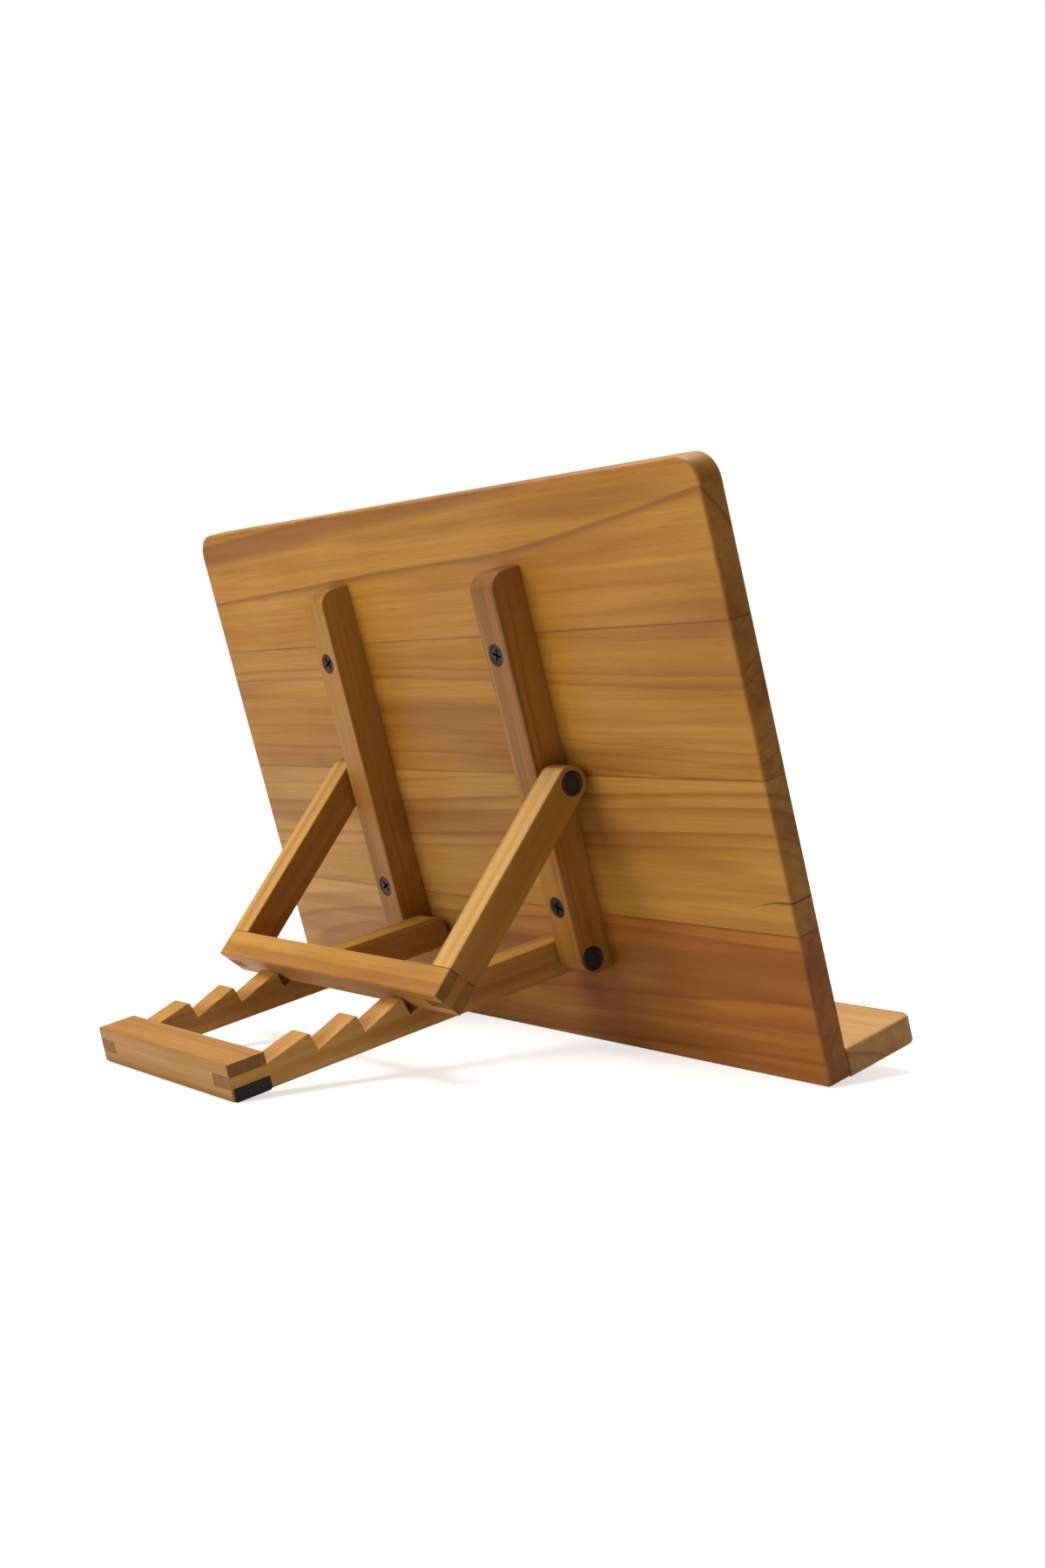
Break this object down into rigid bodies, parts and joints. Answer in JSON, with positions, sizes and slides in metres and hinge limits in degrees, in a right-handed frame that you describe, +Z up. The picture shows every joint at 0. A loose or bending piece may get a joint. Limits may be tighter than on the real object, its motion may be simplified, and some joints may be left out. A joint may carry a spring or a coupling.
{
  "type": "book display stand",
  "caption": "Wooden book display stand: a leaning board with a shelf ledge, a hinged prop frame and a hinged base frame whose notches set how far the board leans.",
  "frame": {"origin": "bottom centre of the open stand's box, on the surface it stands on", "axes": "+X to the reader's right, +Y away from the reader towards the base frame's feet, +Z up"},
  "size_m": [0.35, 0.2072, 0.2132],
  "materials": {
    "board_wood": "oiled",
    "board_wood_low": "oiled",
    "ledge_wood": "oiled",
    "dowel_wood": "raw",
    "batten_wood": "oiled",
    "frame_wood": "oiled",
    "black_screw": "satin",
    "black_cap": "satin",
    "washer_steel": "satin",
    "foot_rubber": "matte"
  },
  "bodies": {
    "backboard": {"board_stave_1": "board_wood_low", "board_stave_2": "board_wood", "board_stave_3": "board_wood", "board_stave_4": "board_wood", "ledge": "ledge_wood", "ledge_dowel_1": "dowel_wood", "ledge_dowel_2": "dowel_wood", "ledge_dowel_3": "dowel_wood", "batten_left": "batten_wood", "batten_right": "batten_wood", "batten_screw_left_lower": "black_screw", "batten_screw_left_upper": "black_screw", "batten_screw_right_lower": "black_screw", "batten_screw_right_upper": "black_screw", "prop_pivot_screw_left": "black_screw", "prop_pivot_washer_left": "washer_steel", "prop_pivot_screw_right": "black_screw", "prop_pivot_washer_right": "washer_steel", "base_pivot_screw_left": "black_screw", "base_pivot_cap_left": "black_cap", "base_pivot_washer_left": "washer_steel", "base_pivot_screw_right": "black_screw", "base_pivot_cap_right": "black_cap", "base_pivot_washer_right": "washer_steel"},
    "prop_frame": {"prop_arm_left": "frame_wood", "prop_arm_right": "frame_wood", "prop_crossbar": "frame_wood", "prop_pivot_cap_left": "black_cap", "prop_pivot_cap_right": "black_cap"},
    "base_frame": {"base_arm_left": "frame_wood", "base_arm_right": "frame_wood", "base_crossbar": "frame_wood", "foot_left": "foot_rubber", "foot_right": "foot_rubber"}
  },
  "joints": [
    {"name": "prop_swing", "type": "hinge", "parent": "backboard", "child": "prop_frame", "pos_m": [0, -0.02562, 0.10298], "axis": [1, 0, 0], "range_deg": [0, 128]},
    {"name": "base_swing", "type": "hinge", "parent": "backboard", "child": "base_frame", "pos_m": [0, -0.04271, 0.03593], "axis": [1, 0, 0], "range_deg": [-92, 0]}
  ]
}
